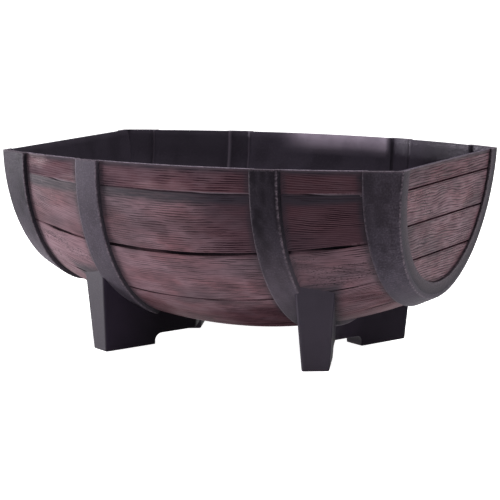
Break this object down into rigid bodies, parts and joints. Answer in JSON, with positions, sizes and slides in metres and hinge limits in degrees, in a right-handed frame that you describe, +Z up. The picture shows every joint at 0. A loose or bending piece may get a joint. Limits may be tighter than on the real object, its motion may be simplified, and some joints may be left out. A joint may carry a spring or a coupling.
{
  "type": "barrel planter",
  "caption": "Trough planter shaped as a half barrel: wood-effect staves and planked heads, dark hoops, splayed leg frames, and a drain plug that lifts out.",
  "frame": {"origin": "on the ground under the middle of the barrel, centred between the feet", "axes": "+X along the barrel, +Y across it towards the back, +Z up through the open rim"},
  "size_m": [0.5, 0.394, 0.229],
  "materials": {
    "staves": "grained wood effect, red-brown paint over charcoal plastic",
    "heads": "grained wood effect, red-brown paint over charcoal plastic",
    "hoops": "pebbled charcoal",
    "frames": "smooth satin charcoal",
    "screws": "satin",
    "washers": "matt",
    "plug": "satin charcoal"
  },
  "bodies": {
    "planter": {"tub": "staves", "left_head": "heads", "right_head": "heads", "left_end_hoop": "hoops", "left_inner_hoop": "hoops", "right_inner_hoop": "hoops", "right_end_hoop": "hoops", "left_leg_frame": "frames", "right_leg_frame": "frames", "frame_screws": "screws", "frame_washers": "washers"},
    "drain_plug": {"drain_plug": "plug"}
  },
  "joints": [
    {"name": "drain_plug_lift", "type": "slide", "parent": "planter", "child": "drain_plug", "axis": [0, 0, 1], "range_m": [0, 0.03]}
  ]
}
